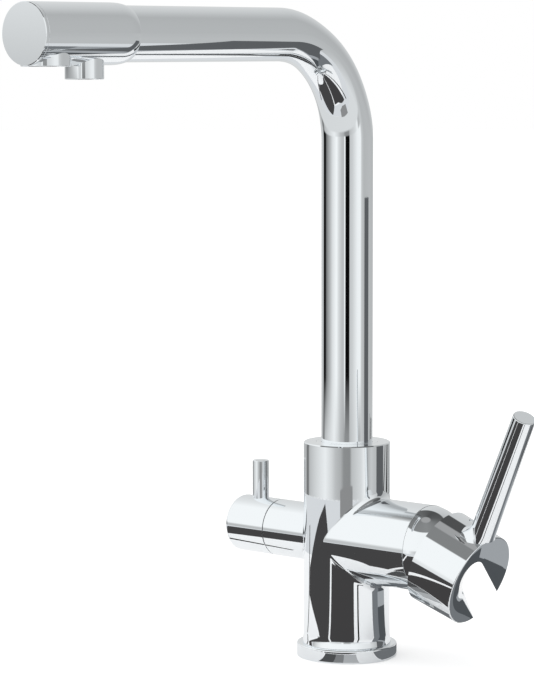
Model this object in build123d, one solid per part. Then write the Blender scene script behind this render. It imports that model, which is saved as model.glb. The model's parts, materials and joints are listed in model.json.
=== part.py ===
from build123d import *
from math import cos, radians, sin, sqrt, tan
import os

# Three way kitchen tap: hot, cold and filtered water.
# Millimetres. +Z is up, the spout reaches towards -Y, the mixer arm towards +X, the filter arm towards -X.
# The origin is on the worktop, in the middle of the tap's foot.

# ---- general fits ----
run_gap = 0.05          # radial gap of a running fit
seat_gap = 0.1          # gap of a piece dropped into a seat
clear_gap = 0.3         # gap between pieces that pass each other
over = 1.0              # how far a cutting tool runs past a face

# ---- foot and body ----
ring_radius = 24.5
ring_height = 6.5
ring_edge = 0.8
foot_radius = 18.6
body_radius = 21.15
body_top = 105.6
body_edge = 0.5
foot_flare = 0.6        # how far the body widens at its foot
foot_flare_height = 4.0
gasket_width = 2.2
gasket_height = 2.0

# ---- worktop fixing and water inlets ----
stud_hole_radius = 3.4      # tapping size for an M8 stud
stud_hole_depth = 26.0
inlet_hole_radius = 4.5     # tapping size for an M10 x 1 hose
inlet_thread_depth = 14.0
inlet_circle = 11.4
inlet_angle = 60.0          # hot and cold, either side of the mixer arm
filter_inlet_angle = 190.0
passage_radius = 2.7

# ---- arms ----
arm_height = 58.3
mixer_arm_radius = 21.0
mixer_arm_end = 51.7
filter_arm_radius = 14.1
filter_arm_end = 42.8
mixer_blend = 3.5
filter_blend = 1.5

# ---- spout socket in the body ----
socket_radius = 14.6
socket_depth = 33.6
collar_radius = 15.0
collar_height = 6.6
collar_key = 2.0
washer_thickness = 0.7
chamber_radius = 7.0
chamber_rise = 3.0          # floor of the mixing chamber above the arms' axis

# ---- spout ----
tube_radius = 12.5
tube_wall = 1.2
bend_radius = 51.0
spout_height = 302.8
spout_reach = 214.0
foot_wall = 3.6
foot_relief = 1.45          # how far the foot stands clear of its socket between the seals
foot_neck = 12.0
foot_flange_height = 2.2
seat_ring_height = 1.6
bush_height = 4.0
bush_thickness = 1.8
o_ring_wire = 1.2
o_ring_heights = (8.0, 14.0)    # above the bottom of the spout's foot

# ---- inner tube for filtered water ----
inner_tube_radius = 4.0
inner_tube_wall = 1.2
inner_tube_lift = 0.5           # from the filter port up to the foot of the inner tube
spigot_seal_wire = 0.8

# ---- nozzle ----
nozzle_radius = 13.7
nozzle_length = 58.5
shoulder_length = 9.0
nozzle_lip = 0.3            # thickness of the nozzle where it starts on the tube
shoulder_slope = 0.3
nozzle_wall = 2.0
tube_in_nozzle = 8.0
end_cap_thickness = 2.0
end_cap_spigot = 5.0
end_cap_wall = 1.5
end_cap_edge = 0.4
aerator_setback = 12.8      # from the end of the nozzle to the middle of the aerator
aerator_radius = 11.0
aerator_drop = 14.1         # below the spout's axis
aerator_height = 8.9
filter_outlet_setback = 35.9
filter_outlet_radius = 8.6
filter_outlet_drop = 19.8
filter_outlet_height = 12.8
filter_outlet_flat = 7.7    # half the size across the spanner flats
spanner_flat_height = 5.5
outlet_wall = 1.6
outlet_ledge = 1.5
outlet_edge = 0.5
insert_recess = 1.2
insert_height = 4.5
insert_washer = 1.4
mesh_hole = 1.5
mesh_pitch = 2.4
elbow_wall = 1.6
elbow_bore = 2.5
elbow_grip = 6.0
elbow_inset = 8.1           # from the filter outlet's axis back to the end of the inner tube

# ---- mixer cartridge ----
cartridge_pocket = 35.7     # depth of the bore that takes the cartridge
cartridge_radius = 17.5
cartridge_wall = 1.6
cartridge_base = 6.0
cartridge_length = 26.0
cartridge_roof = 4.0
disc_thickness = 3.0
fixed_disc_radius = 14.5
moving_disc_radius = 11.3
pocket_height = 13.0        # the water's way under the moving disc
pocket_width = 14.0
pocket_depth = 1.5
pocket_drop = 2.2
pocket_rim = 1.3
port_side = 6.4             # hot and cold ports, either side of the middle
port_drop = 5.0
port_radius = 2.4
outlet_rise = 5.5
port_seal_wire = 0.8
seal_seat = 0.3             # wall between a port and the groove of its seal
pivot_inset = 2.5           # from the arm's end back to the lever's pivot
guide_radius = 11.9
guide_flange_radius = 15.3
guide_flange = 2.0
guide_past_pivot = 4.0
guide_slot_height = 17.0
stem_pin_inset = 1.0
ball_floor = 1.0            # what is left of the carrier under the ball
carrier_thickness = 5.0
tongue_width = 9.8
tongue_length = 16.0
tongue_depth = 1.4
nut_radius = 17.9
nut_thread = 4.8
nut_hex = 30.0
nut_proud = 0.3
nut_bore = 13.0
arm_mouth_radius = 18.9
arm_mouth_depth = 4.7

# ---- stem ----
stem_radius = 4.0
stem_square = 7.0
stem_corner = 4.5
stem_outer = 21.0
stem_ball = 3.0
stem_neck = 2.0
stem_shoulder = 6.0         # where the stem thickens, from the pivot
stem_shoulder_length = 3.0
stem_waist = 7.0            # where the stem turns square
stem_pin_radius = 2.0
stem_skew = 12.5            # the stem leans this far from the hub's own axis

# ---- dome cap behind the handle ----
dome_wall = 1.6
dome_length = 13.4          # past the pivot
dome_skirt = 4.2
dome_skirt_wall = 1.05

# ---- handle ----
handle_turn = 10.0          # how far the handle is turned about the arm at rest
handle_tilt = 21.8          # how far it is tilted open at rest
hub_start = 8.5             # from the pivot, along the hub
hub_end = 33.2
hub_start_radius = 23.5
hub_end_radius = 22.7
hub_clearance = 0.4         # between the hub's hollow and the arm's rim
hub_roof = 17.0             # depth of the hollow, from the pivot along the stem
hub_boss_radius = 7.5
hub_boss_length = 7.9
hub_edge = 0.5
notch_half_width = 8.9
notch_end = -8.0            # middle of the notch's round end, along the notch
notch_side = -3.45          # the notch's middle line, across the notch
notch_heading = 139.7       # which way the notch opens, from the lever round the hub's axis
notch_run = 0.871           # the way its floor slopes: along, across and into the hub
notch_drift = 0.29
notch_sink = 0.434
notch_reach = 80.0
notch_lead = 10.0           # how far outside the face the cut starts
lever_root = 26.3
lever_length = 91.3
lever_lean = 6.0
lever_root_radius = 6.3
lever_tip_radius = 5.4
lever_edge = 0.4
lever_flare = 8.0           # radius of the hollow curve between the lever and the hub
lever_flare_sink = 2.5      # how far below the lever's seat that curve starts
lever_flare_steps = 5
lever_spigot = 4.0
lever_spigot_radius = 3.5
hub_screw_radius = 2.5
hub_screw_length = 7.0
hub_screw_reach = 18.0
hub_screw_angle = 20.0
hub_screw_key = 1.2
hub_screw_key_depth = 2.5
screw_plug_height = 1.6
screw_plug_sink = 0.3
hub_screw_gap = 1.0

# ---- filter valve ----
valve_pocket = 26.8
valve_radius = 10.4
valve_length = 19.0
valve_base = 5.0
valve_wall = 1.6
valve_roof = 4.0
valve_disc_thickness = 2.5
valve_disc_radius = 7.6
valve_port_side = 4.3
valve_port_drop = 3.0
valve_port_radius = 1.9
valve_seal_wire = 0.7
gland_radius = 11.4
gland_length = 4.8
gland_hex = 17.0
spindle_radius = 3.6
spindle_head_radius = 6.5
spindle_past_arm = 12.2
knob_length = 25.1
knob_edge = 2.0
knob_rim = 2.0
knob_mouth = 2.0
knob_screw_radius = 2.0
knob_screw_setback = 6.0
knob_screw_sink = 1.0
knob_screw_key = 1.0
knob_screw_key_depth = 1.5
filter_pin_setback = 13.2
filter_pin_radius = 4.1
filter_pin_top = 32.7       # above the arm's axis
filter_pin_seat = 9.0
filter_pin_edge = 0.4

# ---- places that follow from the sizes above ----
socket_floor = body_top - socket_depth
collar_low = body_top - collar_height
foot_low = socket_floor + seat_ring_height + run_gap
foot_high = collar_low - washer_thickness - run_gap
flange_low = foot_high - foot_flange_height
foot_body_radius = socket_radius - foot_relief
foot_bore_radius = foot_body_radius - foot_wall
spout_bore = tube_radius - tube_wall
gasket_middle = (ring_radius + foot_radius) / 2
bush_bore = socket_radius - run_gap - bush_thickness
bend_start = spout_height - bend_radius

chamber_floor = arm_height + chamber_rise
filter_port_height = arm_height - valve_port_drop
spigot_floor = filter_port_height - valve_port_radius - over
inner_tube_bottom = filter_port_height + valve_port_radius + inner_tube_lift
spigot_seal_height = (inner_tube_bottom + chamber_floor) / 2

nozzle_start = spout_reach - nozzle_length
tube_end = nozzle_start + tube_in_nozzle
cap_low = spout_reach - end_cap_thickness
nozzle_bore = nozzle_radius - nozzle_wall
aerator_reach = spout_reach - aerator_setback
filter_outlet_reach = spout_reach - filter_outlet_setback
inner_tube_end = filter_outlet_reach - elbow_inset
aerator_bore = aerator_radius - outlet_wall
filter_outlet_bore = filter_outlet_radius - outlet_wall

seat_reach = mixer_arm_end - cartridge_pocket
housing_low = seat_reach + seat_gap
housing_high = seat_reach + cartridge_length
housing_bore = cartridge_radius - cartridge_wall
disc_low = seat_reach + cartridge_base
moving_low = disc_low + disc_thickness + seat_gap
carrier_low = moving_low + disc_thickness
carrier_high = carrier_low + carrier_thickness
guide_low = housing_high - cartridge_roof - run_gap - guide_flange
pivot_reach = mixer_arm_end - pivot_inset
guide_end = pivot_reach + guide_past_pivot
ball_reach = carrier_low + ball_floor + 2 * clear_gap + stem_ball
stem_lean = handle_tilt - stem_skew
stem_inner = (pivot_reach - ball_reach) / cos(radians(stem_lean))
ball_shift = stem_inner * sin(radians(stem_lean))
ports = ((-port_drop, port_side), (-port_drop, -port_side), (outlet_rise, 0))

dome_radius = mixer_arm_radius
hub_cavity_radius = sqrt(mixer_arm_radius ** 2 + pivot_inset ** 2) + hub_clearance
hub_taper = (hub_end_radius - hub_start_radius) / (hub_end - hub_start)

valve_seat = filter_arm_end - valve_pocket
valve_low = valve_seat + seat_gap
valve_high = valve_seat + valve_length
valve_disc_low = valve_seat + valve_base
valve_turn_low = valve_disc_low + valve_disc_thickness + seat_gap
valve_head_low = valve_turn_low + valve_disc_thickness
valve_ports = ((-valve_port_drop, valve_port_side), (-valve_port_drop, -valve_port_side))
knob_start = filter_arm_end + clear_gap + seat_gap
knob_end = knob_start + knob_length
spindle_end = filter_arm_end + spindle_past_arm
filter_pin_reach = knob_start + filter_pin_setback
knob_screw_reach = knob_start + knob_screw_setback

arm_axis = Axis((0, 0, arm_height), (1, 0, 0))
pivot = Vector(pivot_reach, 0, arm_height)
tilt_axis = Axis(pivot, (0, 1, 0))


# ---- helpers: each shape is drawn upright about Z, then laid where it belongs ----
def rod(radius, start, end):
    return Pos(0, 0, (start + end) / 2) * Cylinder(radius, end - start)


def tube(outer, inner, start, end):
    return rod(outer, start, end) - rod(inner, start - over, end + over)


def turned(*points):
    return revolve(make_face(Polyline(*[(r, 0, z) for r, z in points], close=True)), Axis.Z)


def hexagon(across_flats, start, end):
    outline = RegularPolygon(across_flats / 2, 6, major_radius=False)
    return extrude(Plane.XY.offset(start) * outline, end - start)


def o_ring(middle, wire, height):
    return Pos(0, 0, height) * Torus(middle, wire)


def top_edges(shape):
    return shape.edges().group_by(Axis.Z)[-1]


def on_mixer_arm(shape):
    return Pos(0, 0, arm_height) * Rot(0, 90, 0) * shape


def on_filter_arm(shape):
    return Rot(0, 0, 180) * on_mixer_arm(shape)


def on_spout(shape):
    return Pos(0, 0, spout_height) * Rot(90, 0, 0) * shape


def under_spout(shape, reach):
    return Pos(0, -reach, spout_height) * shape


def drill_x(radius, start, end, y, z):
    return Pos((start + end) / 2, y, z) * Rot(0, 90, 0) * Cylinder(radius, abs(end - start))


def drill_up(radius, start, end, place):
    return Pos(place[0], place[1], 0) * rod(radius, start, end)


def on_inlet_circle(angle):
    return inlet_circle * cos(radians(angle)), inlet_circle * sin(radians(angle))


def at_ports(places, shape):
    """Copies of a shape at the ports: each place is a height above the arm's axis and a side."""
    return [Pos(-up, side, 0) * shape for up, side in places]


def seal_groove(port, wire, low):
    inner = port + seal_seat
    return tube(inner + 2 * (wire + seat_gap), inner, low - over, low + 2 * wire - seat_gap)


def seals_at(places, port, wire, low, lay):
    """Each seal is squeezed between the arm's seat and the roof of its groove."""
    ring = o_ring(port + seal_seat + wire + seat_gap, wire, low + wire - seat_gap)
    return [lay(ring_there) for ring_there in at_ports(places, ring)]


def turned_with_handle(shape):
    return shape.rotate(arm_axis, handle_turn)


def tilted_with_handle(shape):
    return turned_with_handle(shape.rotate(tilt_axis, handle_tilt))


def from_pivot(shape):
    return Pos(*pivot) * Rot(0, 90, 0) * shape


def on_stem(shape):
    return Pos(*pivot) * Rot(0, 90 - stem_skew, 0) * shape


def through_pivot(radius, length):
    return Pos(*pivot) * Rot(90, 0, 0) * Cylinder(radius, length)


# ---- foot ----
def base_ring():
    ring = tube(ring_radius, foot_radius + seat_gap, 0, ring_height)
    ring = fillet(top_edges(ring).sort_by(SortBy.RADIUS)[-1], ring_edge)
    half = gasket_width / 2
    return ring - tube(gasket_middle + half, gasket_middle - half, -over, gasket_height)


def base_gasket():
    half = gasket_width / 2 - seat_gap
    return tube(gasket_middle + half, gasket_middle - half, 0, gasket_height)


# ---- body ----
def body_outside():
    upright = rod(body_radius, ring_height, body_top)
    upright = chamfer(top_edges(upright), body_edge)
    whole = upright + on_mixer_arm(rod(mixer_arm_radius, 0, mixer_arm_end))
    whole = blend_root(whole, 1, mixer_arm_radius, mixer_blend)
    whole += on_filter_arm(rod(filter_arm_radius, 0, filter_arm_end))
    whole = blend_root(whole, -1, filter_arm_radius, filter_blend)
    flare_top = ring_height + foot_flare_height
    whole += turned(
        (0, ring_height), (body_radius + foot_flare, ring_height), (body_radius, flare_top), (0, flare_top),
    )
    return whole + rod(foot_radius, 0, ring_height)


def blend_root(whole, side, arm_radius, size):
    """Rounds the line where an arm meets the upright."""
    def at_root(edge):
        middle = edge.center()
        close = abs(middle.Z - arm_height) < arm_radius + over
        return close and 0 < side * middle.X < body_radius + over
    plain = (GeomType.LINE, GeomType.CIRCLE)
    return fillet([edge for edge in whole.edges() if at_root(edge) and edge.geom_type not in plain], size)


def body_shell():
    body = body_outside()
    body -= rod(socket_radius, socket_floor, body_top + over)
    body -= rod(collar_radius + run_gap, collar_low - washer_thickness, body_top + over)
    body -= rod(chamber_radius, chamber_floor, socket_floor + over)
    body -= rod(inner_tube_radius + run_gap, spigot_floor, chamber_floor + over)
    groove_middle = inner_tube_radius + spigot_seal_wire
    body -= tube(
        groove_middle + spigot_seal_wire + run_gap, inner_tube_radius - over,
        spigot_seal_height - spigot_seal_wire - run_gap, spigot_seal_height + spigot_seal_wire + run_gap,
    )
    body -= rod(stud_hole_radius, -over, stud_hole_depth)
    body -= on_mixer_arm(rod(cartridge_radius + seat_gap, seat_reach, mixer_arm_end + over))
    body -= on_mixer_arm(rod(nut_radius + seat_gap, housing_high, mixer_arm_end + over))
    body -= on_mixer_arm(rod(arm_mouth_radius, mixer_arm_end - arm_mouth_depth, mixer_arm_end + over))
    body -= on_filter_arm(rod(valve_radius + seat_gap, valve_seat, filter_arm_end + over))
    body -= on_filter_arm(rod(gland_radius + seat_gap, valve_high, filter_arm_end + over))
    port_height = arm_height - port_drop
    for side in (1, -1):
        place = on_inlet_circle(side * inlet_angle)
        body -= drill_up(inlet_hole_radius, -over, inlet_thread_depth, place)
        body -= drill_up(passage_radius, 0, port_height + port_radius, place)
        body -= drill_x(port_radius, place[0] - over, seat_reach + over, side * port_side, port_height)
    body -= drill_x(port_radius, 0, seat_reach + over, 0, arm_height + outlet_rise)
    place = on_inlet_circle(filter_inlet_angle)
    body -= drill_up(inlet_hole_radius, -over, inlet_thread_depth, place)
    body -= drill_up(passage_radius, 0, filter_port_height + valve_port_radius, place)
    body -= drill_x(valve_port_radius, -valve_seat - over, place[0], -valve_port_side, filter_port_height)
    body -= drill_x(valve_port_radius, -valve_seat - over, 0, valve_port_side, filter_port_height)
    return body


# ---- spout socket ----
def lower_swivel_seat():
    return tube(socket_radius - run_gap, foot_bore_radius, socket_floor, socket_floor + seat_ring_height)


def collar_nut():
    nut = tube(collar_radius, tube_radius + run_gap, collar_low, body_top)
    keys = [Rot(0, 0, angle) * Pos(collar_radius, 0, collar_low) * Box(3 * collar_key, collar_key, collar_key)
            for angle in (90, 270)]
    return nut - keys


def collar_washer():
    return tube(collar_radius - seat_gap, tube_radius + run_gap, collar_low - washer_thickness, collar_low)


def spigot_seal():
    middle = inner_tube_radius + spigot_seal_wire + run_gap
    return o_ring(middle, spigot_seal_wire - run_gap, spigot_seal_height)


# ---- spout ----
def swept_pipe(radius, start, end):
    """A pipe up the middle of the body, round the bend and along the top."""
    upright = rod(radius, start, bend_start)
    bend_axis = Axis((0, -bend_radius, bend_start), (1, 0, 0))
    bend = revolve(Plane.XY.offset(bend_start) * Circle(radius), bend_axis, 90)
    return upright + bend + on_spout(rod(radius, bend_radius, end))


def spout_tube():
    bore = swept_pipe(spout_bore, foot_high - over, tube_end + over)
    return swept_pipe(tube_radius, foot_high, tube_end) - bore


def spout_foot():
    foot = tube(foot_body_radius, foot_bore_radius, foot_low, foot_high)
    foot += tube(spout_bore - run_gap, foot_bore_radius, foot_high, foot_high + foot_neck)
    foot += tube(socket_radius - run_gap, foot_bore_radius, flange_low, foot_high)
    groove_floor = socket_radius - run_gap - 2 * o_ring_wire
    for height in o_ring_heights:
        low = foot_low + height - o_ring_wire
        foot -= tube(foot_body_radius + over, groove_floor, low, low + 2 * o_ring_wire)
    return foot - tube(foot_body_radius + over, bush_bore - run_gap, flange_low - bush_height, flange_low)


def upper_swivel_bush():
    return tube(socket_radius - run_gap, bush_bore, flange_low - bush_height, flange_low)


def spout_seals():
    middle = socket_radius - run_gap - o_ring_wire
    return [o_ring(middle, o_ring_wire - run_gap, foot_low + height) for height in o_ring_heights]


def filter_water_tube():
    bore = inner_tube_radius - inner_tube_wall
    pipe = swept_pipe(inner_tube_radius, inner_tube_bottom, inner_tube_end)
    return pipe - swept_pipe(bore, inner_tube_bottom - over, inner_tube_end + over)


# ---- nozzle ----
def outlet_hole(radius, reach):
    return under_spout(rod(radius, -nozzle_radius - over, 0), reach)


def nozzle_head():
    seat = tube_radius + run_gap
    lip = seat + nozzle_lip
    shoulder_end = nozzle_start + shoulder_length
    ends = ((lip, 0, nozzle_start), (nozzle_radius, 0, shoulder_end))
    shoulder = Spline(*ends, tangents=[(shoulder_slope, 0, 1), (0, 0, 1)])
    sides = Polyline(
        (nozzle_radius, 0, shoulder_end), (nozzle_radius, 0, cap_low), (nozzle_bore, 0, cap_low),
        (nozzle_bore, 0, tube_end), (seat, 0, tube_end), (seat, 0, nozzle_start), (lip, 0, nozzle_start),
    )
    head = on_spout(revolve(make_face(Wire([shoulder.edge(), *sides.edges()])), Axis.Z))
    head -= outlet_hole(aerator_radius + run_gap, aerator_reach)
    return head - outlet_hole(filter_outlet_radius + run_gap, filter_outlet_reach)


def nozzle_end_cap():
    cap = chamfer(top_edges(rod(nozzle_radius, cap_low, spout_reach)), end_cap_edge)
    spigot_radius = nozzle_bore - run_gap
    cap += tube(spigot_radius, spigot_radius - end_cap_wall, cap_low - end_cap_spigot, cap_low)
    return on_spout(cap) - outlet_hole(aerator_radius + clear_gap, aerator_reach)


def outlet_housing(radius, drop, height):
    bottom, top = -drop, height - drop
    bore = radius - outlet_wall
    ledge = bottom + insert_recess + insert_height + insert_washer
    shell = rod(radius, bottom, top)
    shell = chamfer(shell.edges().group_by(Axis.Z)[0], outlet_edge)
    shell -= rod(bore, bottom - over, ledge)
    return shell - rod(bore - outlet_ledge, bottom, top + over)


def outlet_insert(bore, drop):
    low = insert_recess - drop
    radius = bore - run_gap
    count = int(bore / mesh_pitch) + 1
    steps = [index * mesh_pitch for index in range(-count, count + 1)]
    spots = [(x, y) for x in steps for y in steps if sqrt(x * x + y * y) < radius - mesh_hole]
    hole = Pos(0, 0, low + insert_height / 2) * Box(mesh_hole, mesh_hole, insert_height + over)
    return rod(radius, low, low + insert_height) - [Pos(x, y) * hole for x, y in spots]


def outlet_washer(bore, drop):
    low = insert_recess + insert_height - drop
    return tube(bore - run_gap, bore - outlet_ledge, low, low + insert_washer)


def aerator_housing():
    return under_spout(outlet_housing(aerator_radius, aerator_drop, aerator_height), aerator_reach)


def aerator_insert():
    return under_spout(outlet_insert(aerator_bore, aerator_drop), aerator_reach)


def aerator_washer():
    return under_spout(outlet_washer(aerator_bore, aerator_drop), aerator_reach)


def filter_outlet_housing():
    shell = outlet_housing(filter_outlet_radius, filter_outlet_drop, filter_outlet_height)
    flat = Box(4 * filter_outlet_radius, 2 * filter_outlet_radius, 2 * spanner_flat_height)
    offset = filter_outlet_flat + filter_outlet_radius
    shell -= [Pos(0, side * offset, -filter_outlet_drop) * flat for side in (1, -1)]
    return under_spout(shell, filter_outlet_reach)


def filter_outlet_insert():
    return under_spout(outlet_insert(filter_outlet_bore, filter_outlet_drop), filter_outlet_reach)


def filter_outlet_washer():
    return under_spout(outlet_washer(filter_outlet_bore, filter_outlet_drop), filter_outlet_reach)


def filter_elbow():
    """Joins the end of the inner tube to the filter outlet inside the nozzle."""
    outside = inner_tube_radius + elbow_wall
    outlet_top = filter_outlet_height - filter_outlet_drop
    grip_low = inner_tube_end - elbow_grip
    elbow = on_spout(rod(outside, grip_low, filter_outlet_reach))
    elbow += under_spout(rod(outside, outlet_top, 0), filter_outlet_reach)
    elbow += under_spout(Sphere(outside), filter_outlet_reach)
    elbow -= on_spout(rod(inner_tube_radius + run_gap, grip_low - over, inner_tube_end + run_gap))
    elbow -= on_spout(rod(elbow_bore, inner_tube_end, filter_outlet_reach))
    return elbow - under_spout(rod(elbow_bore, outlet_top - over, 0), filter_outlet_reach)


# ---- mixer cartridge ----
def cartridge_housing():
    case = rod(cartridge_radius, housing_low, housing_high)
    case -= rod(housing_bore, disc_low, housing_high - cartridge_roof)
    case -= rod(guide_radius + run_gap, housing_high - cartridge_roof - over, housing_high + over)
    case -= at_ports(ports, rod(port_radius, housing_low - over, disc_low + over))
    case -= at_ports(ports, seal_groove(port_radius, port_seal_wire, housing_low))
    return on_mixer_arm(case)


def cartridge_seals():
    return seals_at(ports, port_radius, port_seal_wire, housing_low, on_mixer_arm)


def fixed_disc():
    disc_high = disc_low + disc_thickness
    disc = rod(fixed_disc_radius, disc_low, disc_high)
    return on_mixer_arm(disc - at_ports(ports, rod(port_radius, disc_low - over, disc_high + over)))


def moved_with_ball(shape):
    return turned_with_handle(Pos(0, 0, ball_shift) * on_mixer_arm(shape))


def moving_disc():
    pocket = Pos(pocket_drop, 0, moving_low) * Box(pocket_height, pocket_width, 2 * pocket_depth)
    pocket &= rod(moving_disc_radius - pocket_rim, moving_low - over, carrier_low)
    return moved_with_ball(rod(moving_disc_radius, moving_low, carrier_low) - pocket)


def disc_carrier():
    plate = rod(moving_disc_radius, carrier_low, carrier_high)
    tongue_high = guide_low + tongue_depth
    tongue_height = tongue_high - carrier_high
    tongue = Pos(0, 0, carrier_high + tongue_height / 2) * Box(tongue_length, tongue_width, tongue_height)
    socket = rod(stem_ball + 3 * run_gap, carrier_low + ball_floor, tongue_high + over)
    return moved_with_ball(plate + tongue - socket)


def turning_guide():
    guide = rod(guide_radius, guide_low, guide_end)
    guide += rod(guide_flange_radius, guide_low, guide_low + guide_flange)
    groove = Box(4 * guide_radius, tongue_width + 2 * seat_gap, 2 * (tongue_depth + seat_gap))
    guide -= Pos(0, 0, guide_low) * groove
    slot = Box(guide_slot_height, 2 * (stem_radius + seat_gap), 2 * (guide_end - guide_low))
    guide -= Pos(0, 0, guide_end) * slot
    pin_hole = through_pivot(stem_pin_radius + run_gap, 4 * guide_radius)
    return turned_with_handle(on_mixer_arm(guide) - pin_hole)


def stem_pin():
    return turned_with_handle(through_pivot(stem_pin_radius, 2 * (guide_radius - stem_pin_inset)))


def square_bar(size, corner, start, end):
    """A square bar whose corners are turned down to a radius."""
    return Pos(0, 0, (start + end) / 2) * Box(size, size, end - start) & rod(corner, start, end)


def cartridge_stem():
    shoulder = -stem_shoulder
    neck_end = shoulder - stem_shoulder_length
    stem = Pos(0, 0, -stem_inner) * Sphere(stem_ball) + rod(stem_neck, -stem_inner, neck_end)
    stem += turned(
        (0, neck_end), (stem_neck, neck_end), (stem_radius, shoulder),
        (stem_radius, stem_waist), (0, stem_waist),
    )
    stem += square_bar(stem_square, stem_corner, stem_waist, stem_outer)
    return tilted_with_handle(on_stem(stem) - through_pivot(stem_pin_radius + run_gap, 4 * stem_radius))


def cartridge_nut():
    low = housing_high + seat_gap
    nut_end = mixer_arm_end + nut_proud
    nut = rod(nut_radius, low, low + nut_thread) + hexagon(nut_hex, low, nut_end)
    return on_mixer_arm(nut - rod(nut_bore, low - over, nut_end + over))


def ball_slice(radius, low, high):
    return Pos(0, 0, pivot_reach) * Sphere(radius) & rod(2 * radius, low, high)


def dome_cap():
    low, high = mixer_arm_end + seat_gap, pivot_reach + dome_length
    web_high = low + dome_wall
    skirt_low = mixer_arm_end - dome_skirt
    skirt_radius = arm_mouth_radius - run_gap
    cap = ball_slice(dome_radius, low, high)
    cap += rod(skirt_radius, skirt_low, low)
    cap -= rod(skirt_radius - dome_skirt_wall, skirt_low - over, web_high)
    return on_mixer_arm(cap - ball_slice(dome_radius - dome_wall, web_high, high + over))


# ---- handle, drawn with the hub in line with the arm and the lever up, then tilted and turned ----
def hub_radius_at(reach):
    return hub_start_radius + hub_taper * (reach - hub_start)


def hub_cone(end):
    sides = ((hub_start_radius, hub_start), (hub_radius_at(end), end))
    return from_pivot(turned((0, hub_start), *sides, (0, end)))


def notch():
    """A U-shaped cut in the hub's end whose floor slopes down and out through the far side."""
    heading = radians(notch_heading)
    along = Vector(0, sin(heading), cos(heading))
    across = Vector(0, -cos(heading), sin(heading))
    flow = (along * notch_run + across * notch_drift - Vector(notch_sink, 0, 0)).normalized()
    middle = pivot + Vector(hub_end, 0, 0) + along * notch_end + across * notch_side
    opening = Circle(notch_half_width)
    opening += Pos(notch_reach / 2, 0) * Rectangle(notch_reach, 2 * notch_half_width)
    outline = Plane(middle - flow * notch_lead, x_dir=along, z_dir=(1, 0, 0)) * opening
    return extrude(outline, amount=notch_reach, dir=flow)


def stem_socket():
    width, corner = stem_square + seat_gap, stem_corner + run_gap
    return on_stem(square_bar(width, corner, stem_waist, stem_outer + seat_gap))


def hub_screw_line(radius, start, end):
    return Pos(*pivot) * Pos(hub_screw_reach, 0, 0) * Rot(-hub_screw_angle, 0, 0) * rod(radius, start, end)


def on_lever(shape):
    return Pos(*pivot) * Pos(lever_root, 0, 0) * Rot(0, lever_lean, 0) * shape


lever_seat = hub_radius_at(lever_root) / cos(radians(lever_lean))


def lever_hole():
    return on_lever(rod(lever_spigot_radius + run_gap, lever_seat - lever_spigot, lever_seat + 4 * over))


def handle_hub():
    hub = hub_cone(hub_end)
    hub = fillet(hub.edges().group_by(Axis.X)[-1], hub_edge)
    hollow = Sphere(hub_cavity_radius) & rod(2 * hub_cavity_radius, -2 * hub_cavity_radius, hub_roof)
    hub -= on_stem(hollow)
    hub += on_stem(rod(hub_boss_radius, hub_roof - hub_boss_length, hub_roof + over))
    hub -= stem_socket()
    hub -= notch()
    hub -= lever_hole()
    hub -= hub_screw_line(hub_screw_radius + run_gap, 0, 2 * hub_end_radius)
    return tilted_with_handle(hub)


lever_low = lever_seat - 2 * lever_flare_sink


def lever_radius_at(height):
    share = (height - lever_low) / (lever_length - lever_low)
    return lever_root_radius + (lever_tip_radius - lever_root_radius) * share


lever_foot_low = lever_seat - lever_flare_sink
lever_foot_high = lever_foot_low + lever_flare


def lever_foot():
    """The lever's foot grows towards the arm only: a stack of circles that share the lever's outer side."""
    circles = []
    for step in range(lever_flare_steps + 1):
        turn = radians(90 * step / lever_flare_steps)
        height = lever_foot_low + lever_flare * (1 - cos(turn))
        growth = lever_flare * (1 - sin(turn)) / 2
        circles.append(Plane.XY.offset(height) * Pos(-growth, 0) * Circle(lever_radius_at(height) + growth))
    half = lever_flare / 2
    return loft(circles) + Pos(-half, 0) * rod(lever_radius_at(lever_foot_low) + half, lever_low, lever_foot_low)


def handle_lever():
    low, high = lever_foot_high, lever_length
    bar = turned((0, low), (lever_radius_at(low), low), (lever_tip_radius, high), (0, high))
    bar = on_lever(fillet(top_edges(bar), lever_edge) + lever_foot())
    bar -= hub_cone(hub_end + lever_root_radius)
    spigot = rod(lever_spigot_radius, lever_seat - lever_spigot + seat_gap, lever_seat + over)
    return tilted_with_handle(bar + on_lever(spigot))


def hub_screw():
    flat = hub_screw_reach * tan(radians(stem_skew)) + stem_square / 2 / cos(radians(stem_skew))
    low = flat / cos(radians(hub_screw_angle)) + hub_screw_gap
    high = low + hub_screw_length
    screw = hub_screw_line(hub_screw_radius, low, high)
    return tilted_with_handle(screw - hub_screw_line(hub_screw_key, high - hub_screw_key_depth, high + over))


def hub_screw_plug():
    high = hub_radius_at(hub_screw_reach) - screw_plug_sink
    return tilted_with_handle(hub_screw_line(hub_screw_radius, high - screw_plug_height, high))


# ---- filter valve ----
def filter_valve_housing():
    case = rod(valve_radius, valve_low, valve_high)
    case -= rod(valve_radius - valve_wall, valve_disc_low, valve_high - valve_roof)
    case -= rod(spindle_radius + run_gap, valve_disc_low, valve_high + over)
    case -= at_ports(valve_ports, rod(valve_port_radius, valve_low - over, valve_disc_low + over))
    case -= at_ports(valve_ports, seal_groove(valve_port_radius, valve_seal_wire, valve_low))
    return on_filter_arm(case)


def filter_valve_seals():
    return seals_at(valve_ports, valve_port_radius, valve_seal_wire, valve_low, on_filter_arm)


def filter_fixed_disc():
    high = valve_disc_low + valve_disc_thickness
    disc = rod(valve_disc_radius, valve_disc_low, high)
    hole = rod(valve_port_radius, valve_disc_low - over, high + over)
    return on_filter_arm(disc - at_ports(valve_ports, hole))


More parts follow.
